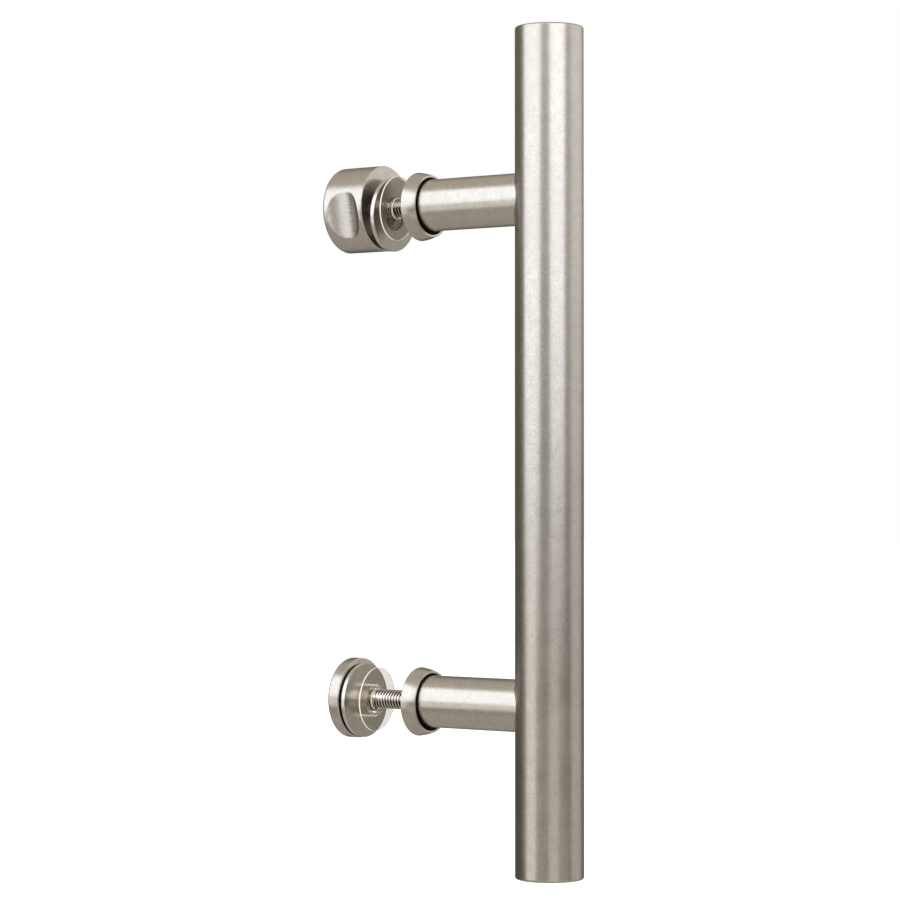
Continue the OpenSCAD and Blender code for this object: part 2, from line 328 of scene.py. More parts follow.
def coped_post(half, mid, door_end):
    """Grid of a post: rows of (radius, share, offset), where a point's station is share * saddle + offset.

    The saddle is how far the tube's surface stands towards the post at that point. Rows with a share of 0 are
    flat, and rows with a share of 1 follow the tube.
    """
    r = half.x
    turn = np.linspace(0, pi / 2, ROUND_STEPS + 1)
    rim = np.stack([r - COPE_EDGE + COPE_EDGE * np.sin(turn), np.ones_like(turn),
                    bar_mid.y + COPE_EDGE * (1 - np.cos(turn))], axis=1)
    end = rounded([(door_end - 2 * POST_CHAMFER, r, 0), (door_end - POST_CHAMFER, r, CHAMFER_ROUND),
                   (door_end, r - POST_CHAMFER, CHAMFER_ROUND), (door_end, TAP_STUD_R, 0),
                   (door_end - STUD_HOLE_L, TAP_STUD_R, 0), (door_end - STUD_HOLE_L, 0, 0)])
    screw_end = bar_mid.y + bar_r + SCREW_HOLE_L
    rows = np.concatenate([
        [(0, 0, screw_end), (TAP_SCREW_R, 0, screw_end), (TAP_SCREW_R, 1, bar_mid.y)],
        np.stack([np.linspace(TAP_SCREW_R, r - 1.5 * COPE_EDGE, 8), np.ones(8), np.full(8, bar_mid.y)], axis=1)[1:],
        rim,
        [(r, 1, bar_mid.y + 1.5 * COPE_EDGE)],
        np.stack([end[:, 1], np.zeros(len(end)), end[:, 0]], axis=1)])
    w = np.linspace(0, 2 * pi, AROUND, endpoint=False)[None, :]
    across = rows[:, :1] * np.cos(w)
    saddle = np.sqrt((bar_r + SEAT_GAP) ** 2 - across ** 2)
    along = rows[:, 1:2] * saddle + rows[:, 2:]
    return np.stack([across, along, rows[:, :1] * np.sin(w) + mid.z], axis=-1)


for node in ("upper_post", "lower_post"):
    half, mid = middle(node)
    door_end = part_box(node)[1].y
    grid = coped_post(half, mid, door_end)
    length = (grid[:, :, 1] - door_end) / MM
    w = np.linspace(0, 2 * pi, AROUND, endpoint=False)[None, :] * np.ones_like(length)
    marks = {"lathe": np.stack([np.cos(w), np.sin(w), length], axis=-1)}
    piece(node, grid_mesh(node, grid, marks=marks))

# %% [markdown]
# ## Seat rings and collars
#
# The collar spreads the load of the post on the glass. Its side is crowned, a flat arc that widens towards the
# glass, and its post end is recessed for a black ring. The post's end stands on that ring inside the recess, so
# what shows of it is a dark crescent round the post. The crown runs the whole length of the side, so it can't
# come from a corner with a radius. Its arc is worked out between the two rims and set into the section.

# %% Seat rings
RING_EDGE = 0.12 * MM
COLLAR_BORE_R = 4.3 * MM

for node in ("upper_seat_ring", "lower_seat_ring"):
    half, mid = middle(node)
    ring_corners = [(-half.y, COLLAR_BORE_R, RING_EDGE), (-half.y, half.x, RING_EDGE),
                    (half.y, half.x, RING_EDGE), (half.y, COLLAR_BORE_R, RING_EDGE)]
    turned_piece(node, ring_corners, mid, ring=True)

# %% Collars
COLLAR_RIM_R = 12.65 * MM
CROWN_R = 25 * MM
COLLAR_EDGE = 0.4 * MM
RIM_EDGE = 0.15 * MM
CROWN_STEPS = 14


def arc_between(first, last, radius, steps):
    """Points inside the arc of a radius from first to last, bulging to the left of the way from one to the other.

    The centre lies off the chord's middle by sqrt(radius squared - half the chord squared).
    """
    first = np.array(first)
    last = np.array(last)
    chord = last - first
    length = np.linalg.norm(chord)
    beside = np.array([chord[1], -chord[0]]) / length
    centre = (first + last) / 2 + beside * np.sqrt(radius ** 2 - length ** 2 / 4)
    start = atan2(*(first - centre)[::-1])
    stop = atan2(*(last - centre)[::-1])
    angle = np.linspace(start, stop, steps + 1)[1:-1]
    return centre + radius * np.stack([np.cos(angle), np.sin(angle)], axis=1)


for node, seat in (("upper_collar", "upper_seat_ring"), ("lower_collar", "lower_seat_ring")):
    half, mid = middle(node)
    low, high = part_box(node)
    seat_half = middle(seat)[0]
    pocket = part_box(seat)[1].y
    crown = arc_between((low.y, COLLAR_RIM_R), (high.y, half.x), CROWN_R, CROWN_STEPS)
    crown_corners = [(s, r, 0) for s, r in crown[1:-1]]
    collar_corners = [(high.y, COLLAR_BORE_R, RING_EDGE), (pocket, COLLAR_BORE_R, RING_EDGE),
                      (pocket, seat_half.x + SEAT_GAP, 0), (low.y, seat_half.x + SEAT_GAP, RIM_EDGE),
                      (low.y, COLLAR_RIM_R, RIM_EDGE), *crown_corners, (high.y, half.x, COLLAR_EDGE)]
    turned_piece(node, collar_corners, (0, 0, mid.z), ring=True)

# %% [markdown]
# ## Threaded studs
#
# The studs have a standard coarse thread: 18 turns to the inch on a 5/16 inch rod, 1.41 mm a turn. It has narrow
# crests and nearly sharp roots, as the photograph shows. A thread is a section carried along a helix. Here each
# column is one angle round the stud, and its rows are shifted along by that share of a turn, so the crests run
# along the grid and stay crisp. Rows past either end are pressed onto the end plane, where they meet in the
# chamfer. Each point also keeps how deep it is cut and how far up it faces, which the finish needs.

# %% Studs
PITCH = 25.4 / 18 * MM
THREAD_DEPTH = 0.34 * PITCH
CREST = 0.26
ROOT = 0.12
THREAD_COLUMNS = 72
STUD_CHAMFER = 0.95 * MM


def thread_profile(part):
    """How deep the thread is cut at each part of a turn, from 0 on the crest to 1 at the root.

    The crest is flat over a share CREST of the pitch, the root over ROOT, and the flanks are straight.
    """
    off_crest = np.abs((part + 0.5) % 1 - 0.5)
    return np.clip((off_crest - CREST / 2) / (0.5 - CREST / 2 - ROOT / 2), 0, 1)


def threaded_rod(start, end, radius, z):
    """Grid of a threaded rod from start to end along Y, its marks, and by how many rows its helix leads.

    The thread's depth is taken off the radius, and both ends are chamfered. The marks are how deep each point
    is cut, from 0 to 1, and how far up it faces, from -1 to 1.
    """
    parts = np.array([-CREST / 2, CREST / 2, 0.5 - ROOT / 2, 0.5, 0.5 + ROOT / 2])
    turns = np.arange(-2, int((end - start) / PITCH) + 3)
    place = (turns[:, None] + parts[None, :]).reshape(-1, 1)
    w = np.linspace(0, 2 * pi, THREAD_COLUMNS, endpoint=False)[None, :]
    helix = start + PITCH * (place + w / (2 * pi))
    cut = thread_profile(place) * np.ones_like(w)
    along = np.clip(helix, start, end)
    from_end = np.minimum(along - start, end - along)
    limit = radius - STUD_CHAMFER + from_end
    r = np.minimum(radius - THREAD_DEPTH * cut, limit)
    lead = len(parts)
    across = np.pad(r, ((lead, lead), (0, 0)))
    station = np.pad(along, ((lead, lead), (0, 0)), mode="edge")
    depth = np.pad(cut, ((lead, lead), (0, 0)))
    grid = np.stack([across * np.cos(w), station, across * np.sin(w) + z], axis=-1)
    return grid, {"depth": depth, "level": np.sin(w) * np.ones_like(across)}, lead


for node in ("upper_stud", "lower_stud"):
    low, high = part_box(node)
    mid = (low + high) / 2
    grid, marks, lead = threaded_rod(low.y, high.y, (high.x - low.x) / 2, mid.z)
    piece(node, grid_mesh(node, grid, marks=marks, lead=lead))

# %% [markdown]
# ## Washers and sleeves
#
# A clear washer keeps metal off the glass, a metal washer backs it, and a clear sleeve lines the hole in the
# glass. All three hang loose on the stud, a little below its axis, because the pull isn't tightened. Three of
# the washers also lean, which the photograph shows by the way their ellipses are tipped and narrowed. They are
# plain rings, so what makes them real is their edges: the metal ones are tumbled smooth, with a wider round at
# the punched hole, and the clear ones are moulded with a fine round.

# %% Rings that hang on the studs
WASHER_EDGE = 0.28 * MM
PUNCHED_EDGE = 0.5 * MM
CLEAR_EDGE = 0.15 * MM
SLEEVE_EDGE = 0.2 * MM
CLEAR_R = 13.2 * MM
CLEAR_T = 0.7 * MM
CLEAR_BORE_R = 4.3 * MM
DISC_R = 15.3 * MM
DISC_T = 1.8 * MM
DISC_BORE_R = 6.75 * MM
SLEEVE_R = 6.65 * MM
SLEEVE_L = 7.2 * MM
SLEEVE_BORE_R = 4.9 * MM
CLEAR_SWING = radians(2.5)


def tipped(lean, swing):
    """Matrix that swings a washer about Z, and then leans its top towards -Y by turning it about X."""
    about_x = np.array([(1, 0, 0), (0, np.cos(lean), -np.sin(lean)), (0, np.sin(lean), np.cos(lean))])
    about_z = np.array([(np.cos(swing), -np.sin(swing), 0), (np.sin(swing), np.cos(swing), 0), (0, 0, 1)])
    return about_x @ about_z


def hanging_ring(node, radius, bore, length, edge, bore_edge, lean=0.0, swing=0.0):
    """A flat ring about the middle of its node's box, tipped on its stud as it was left."""
    ends = (-length / 2, length / 2)
    section = rounded([(ends[0], bore, bore_edge), (ends[0], radius, edge), (ends[1], radius, edge),
                       (ends[1], bore, bore_edge)], closed=True)
    grid = turned(section, (0, 0, 0)) @ tipped(lean, swing).T + np.array(middle(node)[1])
    return piece(node, grid_mesh(node, grid, True, lathe_marks(section)))


for level, clear_lean, disc_lean in (("upper", radians(4), radians(4)), ("lower", radians(2), 0.0)):
    hanging_ring(level + "_metal_washer", DISC_R, DISC_BORE_R, DISC_T, WASHER_EDGE, PUNCHED_EDGE,
                 disc_lean)
    hanging_ring(level + "_clear_washer", CLEAR_R, CLEAR_BORE_R, CLEAR_T, CLEAR_EDGE, CLEAR_EDGE,
                 clear_lean, CLEAR_SWING)
    hanging_ring(level + "_clear_sleeve", SLEEVE_R, SLEEVE_BORE_R, SLEEVE_L, SLEEVE_EDGE, SLEEVE_EDGE)

# %% [markdown]
# ## The cap
#
# The lower stud ends in a flat cap nut. It is turned from bar, with a plain face and a rounded outer edge, and
# it has a blind tapped hole for the stud.

# %% Cap
CAP_EDGE = 0.8 * MM
CAP_RIM = 0.4 * MM
CAP_HOLE_L = 4.2 * MM

low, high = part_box("lower_cap")
cap_mid = (low + high) / 2
cap_r = (high.x - low.x) / 2
cap_corners = [(high.y, 0, 0), (high.y, cap_r, CAP_EDGE), (low.y, cap_r, CAP_RIM),
               (low.y, TAP_STUD_R, RING_EDGE), (low.y + CAP_HOLE_L, TAP_STUD_R, 0), (low.y + CAP_HOLE_L, 0, 0)]
turned_piece("lower_cap", cap_corners, (0, 0, cap_mid.z))

# %% [markdown]
# ## The knob
#
# The knob is a turned drum with a grip scooped out of each side by a round cutter. A Boolean would cut the
# scoops, but their rims would then run across the mesh at random, and a rim like that shades badly. Here the
# drum's radius is worked out for every angle and station instead: it is the lesser of the drum's own radius and
# the distance out to the cutter. The columns are then gathered so that one of them follows the rim exactly,
# and blending the two radii over a tenth of a millimetre breaks the sharp corner, as polishing does.

# %% Knob
KNOB_EDGE = 1.1 * MM
KNOB_RIM = 0.5 * MM
RECESS_R = 7.88 * MM
RECESS_L = 7.9 * MM
RECESS_ROUND = 0.4 * MM
TAP_L = 8.7 * MM
SCOOP_R = 11.5 * MM
SCOOP_DEPTH = 3.1 * MM
SCOOP_AT = 9.7 * MM
KNOB_TURN = radians(12.4)
SCOOP_BLEND = 0.12 * MM
WALL_STEPS = 110
IN_SCOOP = 40
BETWEEN_SCOOPS = 52


def gather(half_angle):
    """Angles round the knob, with IN_SCOOP steps across each scoop of that half angle and the rest between."""
    inner = np.linspace(-1, 1, IN_SCOOP + 1)[:-1]
    outer = np.linspace(0, 1, BETWEEN_SCOOPS + 1)[:-1]
    scoop = half_angle * inner
    between = half_angle + (pi - 2 * half_angle) * outer
    return np.concatenate([scoop, between, scoop + pi, between + pi], axis=1)


def knob_grid(low, high, r, z):
    """Grid of the knob and, for each point, whether it lies in a scoop and where it lies for the brushing belt.

    In a section across the knob at station y, the cutter's edge stands at reach = centre - sqrt(cutter radius
    squared - (y - middle) squared) from the axis, so along a ray at angle w from the scoop's middle it is met
    at reach / cos(w). The rim is where that equals the drum's radius: cos(w) = reach / r.
    """
    wall = np.linspace(high - KNOB_EDGE, low + KNOB_RIM, WALL_STEPS)[1:-1]
    ends = rounded([(high, 0, 0), (high, r, KNOB_EDGE), (low, r, KNOB_RIM), (low, RECESS_R, RING_EDGE),
                    (low + RECESS_L, RECESS_R, RECESS_ROUND), (low + RECESS_L, TAP_STUD_R, 0),
                    (low + RECESS_L + TAP_L, TAP_STUD_R, 0), (low + RECESS_L + TAP_L, 0, 0)])
    split = ROUND_STEPS + 4
    section = np.concatenate([ends[:split], np.stack([wall, np.full_like(wall, r)], axis=1), ends[split:]])
    s, radius = section[:, :1], section[:, 1:]
    on_wall = (radius > r - KNOB_EDGE) & (np.arange(len(s))[:, None] < split + len(wall) + ROUND_STEPS + 3)
    off = s - (low + SCOOP_AT)
    centre = r - SCOOP_DEPTH + SCOOP_R
    reach = centre - np.sqrt(np.clip(SCOOP_R ** 2 - off ** 2, 0, None))
    rim = np.arccos(np.clip(reach / r, 0, 1))
    widest = np.arccos((r - SCOOP_DEPTH) / r)
    past = np.abs(off) - np.sqrt(SCOOP_R ** 2 - (centre - r) ** 2)
    ease = np.clip(past / (1.2 * MM), 0, 1)
    half_angle = np.where(past < 0, np.maximum(rim, radians(3)), radians(3) + (widest - radians(3)) * ease)
    w = gather(half_angle)
    side = np.abs(np.cos(w))
    in_reach = on_wall & (np.abs(off) < SCOOP_R)
    met = np.where(in_reach & (side > 0.2), reach / np.maximum(side, 0.2), 2 * r)
    mix = np.clip(0.5 + 0.5 * (met - radius) / SCOOP_BLEND, 0, 1)
    out = met * (1 - mix) + radius * mix - SCOOP_BLEND * mix * (1 - mix)
    turned_w = w + KNOB_TURN
    grid = np.stack([out * np.cos(turned_w), s * np.ones_like(w), out * np.sin(turned_w) + z], axis=-1)
    brushed = np.stack([s / MM * np.ones_like(w), np.sign(np.cos(w)), out * np.sin(w) / MM], axis=-1)
    return grid, (met < radius).astype(float), brushed, turned_w, section


low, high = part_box("knob")
knob_mid = (low + high) / 2
grid, in_scoop, brushed, w, section = knob_grid(low.y, high.y, (high.x - low.x) / 2, knob_mid.z)
length = np.concatenate([[0], np.cumsum(np.linalg.norm(np.diff(section, axis=0), axis=1))])[:, None] / MM
marks = {"scoop": in_scoop, "belt": brushed,
         "lathe": np.stack([np.cos(w), np.sin(w), length * np.ones_like(w)], axis=-1)}
piece("knob", grid_mesh("knob", grid, marks=marks))

# %% [markdown]
# ## Building materials out of groups
#
# A real finish is one metal and a few things that happened to it: blasting, turning, brushing, handling. Each
# of those is a node group with its own inputs and outputs, built once and placed in every material that needs
# it. A group gives out only heights, masks and shades. The shader itself stays in the material, where its
# plain values are set on its own sockets.

# %% Helpers for nodes
def add(tree, kind, values=None, **settings):
    """Adds a shader node with these settings, and puts values on its input sockets."""
    new = tree.nodes.new("ShaderNode" + kind)
    for key, value in settings.items():
        setattr(new, key, value)
    for key, value in (values or {}).items():
        new.inputs[key].default_value = value
    return new


def join(tree, *pairs):
    """Links each (output, input) pair."""
    for source, target in pairs:
        tree.links.new(source, target)


def new_group(name, inputs, outputs):
    """An empty node group. inputs are (name, kind, default) and outputs are (name, kind)."""
    tree = bpy.data.node_groups.new(name, "ShaderNodeTree")
    for label, kind, default in inputs:
        socket = tree.interface.new_socket(label, in_out="INPUT", socket_type="NodeSocket" + kind)
        if default is not None:
            socket.default_value = default
    for label, kind in outputs:
        tree.interface.new_socket(label, in_out="OUTPUT", socket_type="NodeSocket" + kind)
    return tree, tree.nodes.new("NodeGroupInput").outputs, tree.nodes.new("NodeGroupOutput").inputs


def place(tree, group, values=None):
    """Places a node group in a material."""
    return add(tree, "Group", values, node_tree=group)


# %% [markdown]
# ### Blasted grain
#
# Satin nickel is plated over metal that was blasted with fine glass beads. The pits are too small to see one by
# one, but they gather into a faint mottling about half a millimetre across. Two noises give that: a fine one
# for the pits and a broader one that makes them deeper in some patches than in others. Voronoi cells would
# make pits with outlines, which read as hammered metal, so plain noise is the better choice.

# %% Group: blasted grain
grain, given, out = new_group("blasted grain",
                              [("Vector", "Vector", None), ("Pits per metre", "Float", 1500.0)],
                              [("Height", "Float"), ("Shade", "Float")])
pits = add(grain, "TexNoise", {"Detail": 3.0, "Roughness": 0.6})
patch_scale = add(grain, "Math", {1: 0.18}, operation="MULTIPLY")
patches = add(grain, "TexNoise", {"Detail": 2.0, "Roughness": 0.5})
depth_of_pits = add(grain, "MapRange", {"From Min": 0.3, "From Max": 0.7, "To Min": 0.55, "To Max": 1.0})
height = add(grain, "Math", operation="MULTIPLY")
blend = add(grain, "Mix", {"Factor": 0.35}, data_type="FLOAT")
shade = add(grain, "MapRange", {"From Min": 0.36, "From Max": 0.64})
join(grain, (given["Vector"], pits.inputs["Vector"]), (given["Vector"], patches.inputs["Vector"]),
     (given["Pits per metre"], pits.inputs["Scale"]), (given["Pits per metre"], patch_scale.inputs[0]),
     (patch_scale.outputs[0], patches.inputs["Scale"]), (patches.outputs["Fac"], depth_of_pits.inputs["Value"]),
     (pits.outputs["Fac"], height.inputs[0]), (depth_of_pits.outputs["Result"], height.inputs[1]),
     (pits.outputs["Fac"], blend.inputs["A"]), (patches.outputs["Fac"], blend.inputs["B"]),
     (blend.outputs["Result"], shade.inputs["Value"]),
     (height.outputs[0], out["Height"]), (shade.outputs["Result"], out["Shade"]))

# %% [markdown]
# ### Tool lines
#
# A lathe or a belt leaves fine parallel lines. They are noise that changes fast across the lines and hardly at
# all along them. The lathe attribute made with each turned piece gives exactly that: its third number grows
# across the tool's lines, and the first two, round the axis, change slowly and join up without a seam.

# %% Group: tool lines
lines, given, out = new_group("tool lines",
                              [("Vector", "Vector", None), ("Along", "Float", 1.5), ("Across", "Float", 9.0)],
                              [("Height", "Float")])
stretch = add(lines, "CombineXYZ")
stretched = add(lines, "VectorMath", operation="MULTIPLY")
streaks = add(lines, "TexNoise", {"Scale": 1.0, "Detail": 4.0, "Roughness": 0.65})
join(lines, (given["Along"], stretch.inputs["X"]), (given["Along"], stretch.inputs["Y"]),
     (given["Across"], stretch.inputs["Z"]), (given["Vector"], stretched.inputs[0]),
     (stretch.outputs["Vector"], stretched.inputs[1]), (stretched.outputs["Vector"], streaks.inputs["Vector"]),
     (streaks.outputs["Fac"], out["Height"]))

# %% [markdown]
# ### Handling
#
# Nobody has used this pull yet, but it has been unpacked and held. Fingers leave broad, soft patches where the
# metal shines a little more or a little less. They change the roughness alone and never the colour.

# %% Group: handling
handling, given, out = new_group("handling", [("Vector", "Vector", None), ("Patches per metre", "Float", 45.0)],
                                 [("Sheen", "Float")])
smears = add(handling, "TexNoise", {"Detail": 2.0, "Roughness": 0.5})
centred = add(handling, "Math", {1: 0.5}, operation="SUBTRACT")
join(handling, (given["Vector"], smears.inputs["Vector"]), (given["Patches per metre"], smears.inputs["Scale"]),
     (smears.outputs["Fac"], centred.inputs[0]), (centred.outputs[0], out["Sheen"]))

# %% [markdown]
# ### The edge of a ring
#
# A stamped washer is dull on its faces and bright on its edge, where the tool sheared the metal. A clear washer
# is nearly unseen on its faces, and its edge carries painted light, an emission that stands in for the light of
# the whole sheet. Both need to know where the edge is. All these rings lie across Y, so the normal's Y part alone
# tells it: near one on a face, near nothing on the edge.

# %% Group: edge of a ring
edge_of_ring, given, out = new_group("edge of a ring", [("Normal", "Vector", None)], [("Mask", "Float")])
along_axis = add(edge_of_ring, "SeparateXYZ")
flatness = add(edge_of_ring, "Math", operation="ABSOLUTE")
sideways = add(edge_of_ring, "MapRange", {"From Min": 0.9, "From Max": 0.4, "To Min": 0.0, "To Max": 1.0})
join(edge_of_ring, (given["Normal"], along_axis.inputs[0]), (along_axis.outputs["Y"], flatness.inputs[0]),
     (flatness.outputs[0], sideways.inputs["Value"]), (sideways.outputs["Result"], out["Mask"]))

# %% [markdown]
# ## Satin nickel
#
# Nickel is a warm grey metal. Its plating here is satin: rough enough to blur a reflected lamp into a soft band
# with no clear edge. One function makes every variant of it, because all the pieces went through the same
# bath. They differ in what the tools did first: the bar and posts are only blasted, while the knob, cap and
# collars carry turning lines. The knob's scoops were brushed bright with a belt, and their corner near the door
# is painted dark as shade. The stamped washers are duller, and bright where the tool sheared them.
# The thread's roots are painted dark as shade, apart from a band that faces a little upwards, where they are
# left bright. Marks on the meshes say where each of these lies, so no image has to be made for them.

# %% Satin nickel
NICKEL_LIGHT = (0.757, 0.711, 0.648, 1)
NICKEL_DARK = (0.633, 0.587, 0.527, 1)
# The next two colours are painted shade: near black, for the thread's roots and for the scoops' corner near the
# door.
PAINTED_ROOT_SHADE = (0.012, 0.010, 0.008, 1)
PAINTED_CORNER_SHADE = (0.020, 0.018, 0.015, 1)
BRUSHED = (0.86, 0.82, 0.76, 1)
SCOOP_MIDDLE = (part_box("knob")[0].y + SCOOP_AT) / MM
SATIN = 0.27
SHEEN = 0.06


def begin_material(name):
    """A new node material: its tree, its shader and an Object coordinate."""
    material = bpy.data.materials.new(name)
    material.use_nodes = True
    tree = material.node_tree
    shader = tree.nodes["Principled BSDF"]
    return material, tree, shader, add(tree, "TexCoord").outputs["Object"]


def satin_nickel(name, turning=0.0, scooped=False, threaded=False, sheared=False, satin=SATIN, tone=1.0):
    """Satin nickel plating. turning is how deep the lathe's lines are, from 0 to 1, and tone dims the metal."""
    material, tree, shader, place_on_piece = begin_material(name)
    shader.inputs["Metallic"].default_value = 1.0
    pitted = place(tree, grain, {"Pits per metre": 1500.0})
    held = place(tree, handling, {"Patches per metre": 45.0})
    dimmed = [tuple(part * tone for part in metal[:3]) + (1,) for metal in (NICKEL_DARK, NICKEL_LIGHT)]
    colour = add(tree, "Mix", {"A": dimmed[0], "B": dimmed[1]}, data_type="RGBA")
    rough = add(tree, "MapRange",
                {"From Min": -0.5, "From Max": 0.5, "To Min": satin - SHEEN, "To Max": satin + SHEEN})
    bump = add(tree, "Bump", {"Strength": 0.08, "Distance": 0.00010})
    join(tree, (place_on_piece, pitted.inputs["Vector"]), (place_on_piece, held.inputs["Vector"]),
         (pitted.outputs["Shade"], colour.inputs["Factor"]), (held.outputs["Sheen"], rough.inputs["Value"]),
         (pitted.outputs["Height"], bump.inputs["Height"]))
    shade, roughness, normal = colour.outputs["Result"], rough.outputs["Result"], bump.outputs["Normal"]
    if turning:
        lathe = add(tree, "Attribute", attribute_name="lathe")
        turned_lines = place(tree, lines, {"Along": 1.2, "Across": 7.0})
        second = add(tree, "Bump", {"Strength": turning, "Distance": 0.00004})
        join(tree, (lathe.outputs["Vector"], turned_lines.inputs["Vector"]),
             (turned_lines.outputs["Height"], second.inputs["Height"]), (normal, second.inputs["Normal"]))
        normal = second.outputs["Normal"]
    if scooped:
        belt = add(tree, "Attribute", attribute_name="belt")
        scoop = add(tree, "Attribute", attribute_name="scoop")
        strokes = place(tree, lines, {"Along": 0.03, "Across": 2.0})
        deep = add(tree, "Math", {1: 0.9}, operation="MULTIPLY")
        third = add(tree, "Bump", {"Distance": 0.00017})
        join(tree, (belt.outputs["Vector"], strokes.inputs["Vector"]), (scoop.outputs["Fac"], deep.inputs[0]),
             (strokes.outputs["Height"], third.inputs["Height"]), (deep.outputs[0], third.inputs["Strength"]),
             (normal, third.inputs["Normal"]))
        normal = third.outputs["Normal"]
        # Painted shade: the scoop's corner near the door is darkened in its colour.
        station = add(tree, "SeparateXYZ")
        corner = add(tree, "MapRange", {"From Min": SCOOP_MIDDLE - 2.5, "From Max": SCOOP_MIDDLE - 7.2},
                     interpolation_type="SMOOTHSTEP")
        painted_corner_mask = add(tree, "Math", operation="MULTIPLY")
        bright = add(tree, "Mix", {"B": BRUSHED}, data_type="RGBA")
        with_corner_shade = add(tree, "Mix", {"B": PAINTED_CORNER_SHADE}, data_type="RGBA")
        join(tree, (belt.outputs["Vector"], station.inputs[0]), (station.outputs["X"], corner.inputs["Value"]),
             (corner.outputs["Result"], painted_corner_mask.inputs[0]), (scoop.outputs["Fac"], painted_corner_mask.inputs[1]),
             (scoop.outputs["Fac"], bright.inputs["Factor"]), (shade, bright.inputs["A"]),
             (painted_corner_mask.outputs[0], with_corner_shade.inputs["Factor"]), (bright.outputs["Result"], with_corner_shade.inputs["A"]))
        shade = with_corner_shade.outputs["Result"]
    if sheared:
        coordinates = add(tree, "TexCoord")
        edge = place(tree, edge_of_ring)
        fresh = add(tree, "Mix", {"B": BRUSHED}, data_type="RGBA")
        join(tree, (coordinates.outputs["Normal"], edge.inputs["Normal"]),
             (edge.outputs["Mask"], fresh.inputs["Factor"]), (shade, fresh.inputs["A"]))
        shade = fresh.outputs["Result"]
    if threaded:
        # Painted shade: the thread's roots are darkened in the colour, except in a band that faces a little upwards.
        depth = add(tree, "Attribute", attribute_name="depth")
        level = add(tree, "Attribute", attribute_name="level")
        root = add(tree, "MapRange", {"From Min": 0.10, "From Max": 0.55})
        above = add(tree, "MapRange", {"From Min": 0.38, "From Max": 0.55})
        below = add(tree, "MapRange", {"From Min": 0.05, "From Max": -0.12})
        shaded = add(tree, "Math", operation="ADD")
        painted_root_shade = add(tree, "Math", operation="MULTIPLY")
        dark = add(tree, "Mix", {"B": PAINTED_ROOT_SHADE}, data_type="RGBA")
        join(tree, (depth.outputs["Fac"], root.inputs["Value"]), (level.outputs["Fac"], above.inputs["Value"]),
             (level.outputs["Fac"], below.inputs["Value"]), (above.outputs["Result"], shaded.inputs[0]),
             (below.outputs["Result"], shaded.inputs[1]), (root.outputs["Result"], painted_root_shade.inputs[0]),
             (shaded.outputs[0], painted_root_shade.inputs[1]), (painted_root_shade.outputs[0], dark.inputs["Factor"]),
             (shade, dark.inputs["A"]))
        shade = dark.outputs["Result"]
    join(tree, (shade, shader.inputs["Base Color"]), (roughness, shader.inputs["Roughness"]),
         (normal, shader.inputs["Normal"]))
    return material


materials = {
    "bar": satin_nickel("satin nickel, blasted"),
    "turned": satin_nickel("satin nickel, turned", turning=0.12),
    "knob": satin_nickel("satin nickel, turned and scooped", turning=0.10, scooped=True),
    "washer": satin_nickel("satin nickel, stamped", turning=0.08, sheared=True, tone=0.72),
    "stud": satin_nickel("nickel thread", threaded=True, satin=0.11, tone=1.25),
}

# %% [markdown]
# ## Plain steel
#
# Nobody sees the saddle washers and the screws inside the bar, so they are bought as plain zinc-plated steel. It
# is bluer and a little rougher than the nickel.

# %% Plain steel
steel, tree, shader, place_on_piece = begin_material("plain steel")
shader.inputs["Base Color"].default_value = (0.50, 0.51, 0.53, 1)
shader.inputs["Metallic"].default_value = 1.0
galvanised = place(tree, handling, {"Patches per metre": 300.0})
steel_rough = add(tree, "MapRange", {"From Min": -0.5, "From Max": 0.5, "To Min": 0.25, "To Max": 0.50})
join(tree, (place_on_piece, galvanised.inputs["Vector"]),
     (galvanised.outputs["Sheen"], steel_rough.inputs["Value"]),
     (steel_rough.outputs["Result"], shader.inputs["Roughness"]))

# %% [markdown]
# ## Black rubber
#
# The seat rings are moulded rubber. It is not quite black, and it reflects so little that only its grain tells
# it from a shadow.

# %% Black rubber
rubber, tree, shader, place_on_piece = begin_material("black rubber")
shader.inputs["Base Color"].default_value = (0.003, 0.0028, 0.0025, 1)
shader.inputs["Roughness"].default_value = 0.7
shader.inputs["Specular IOR Level"].default_value = 0.12
moulded = place(tree, grain, {"Pits per metre": 4000.0})
rubber_bump = add(tree, "Bump", {"Strength": 0.3, "Distance": 0.00005})
join(tree, (place_on_piece, moulded.inputs["Vector"]), (moulded.outputs["Height"], rubber_bump.inputs["Height"]),
     (rubber_bump.outputs["Normal"], shader.inputs["Normal"]))

# %% [markdown]
# ## Clear plastic
#
# The washers and sleeves are moulded of soft clear vinyl. A sheet of it less than a millimetre thick hardly bends
# what is seen through it, but its surface is a little cloudy. So it is drawn as a pale skin that lets most of the
# picture through. Each clear washer shows as a thin bright ring, which is painted light: its edge gives out an
# emission that stands in for the light the sheet gathers from behind. The sleeve on the lower stud has a thicker
# wall, which turns back some of the light inside it, and a painted highlight, an emission that grows towards its
# outline. The sleeve in the knob's recess lies in shadow, so it is drawn darker, which is painted shade.

# %% Clear plastic
PAINTED_LIGHT_TINT = (1.0, 0.93, 0.82)


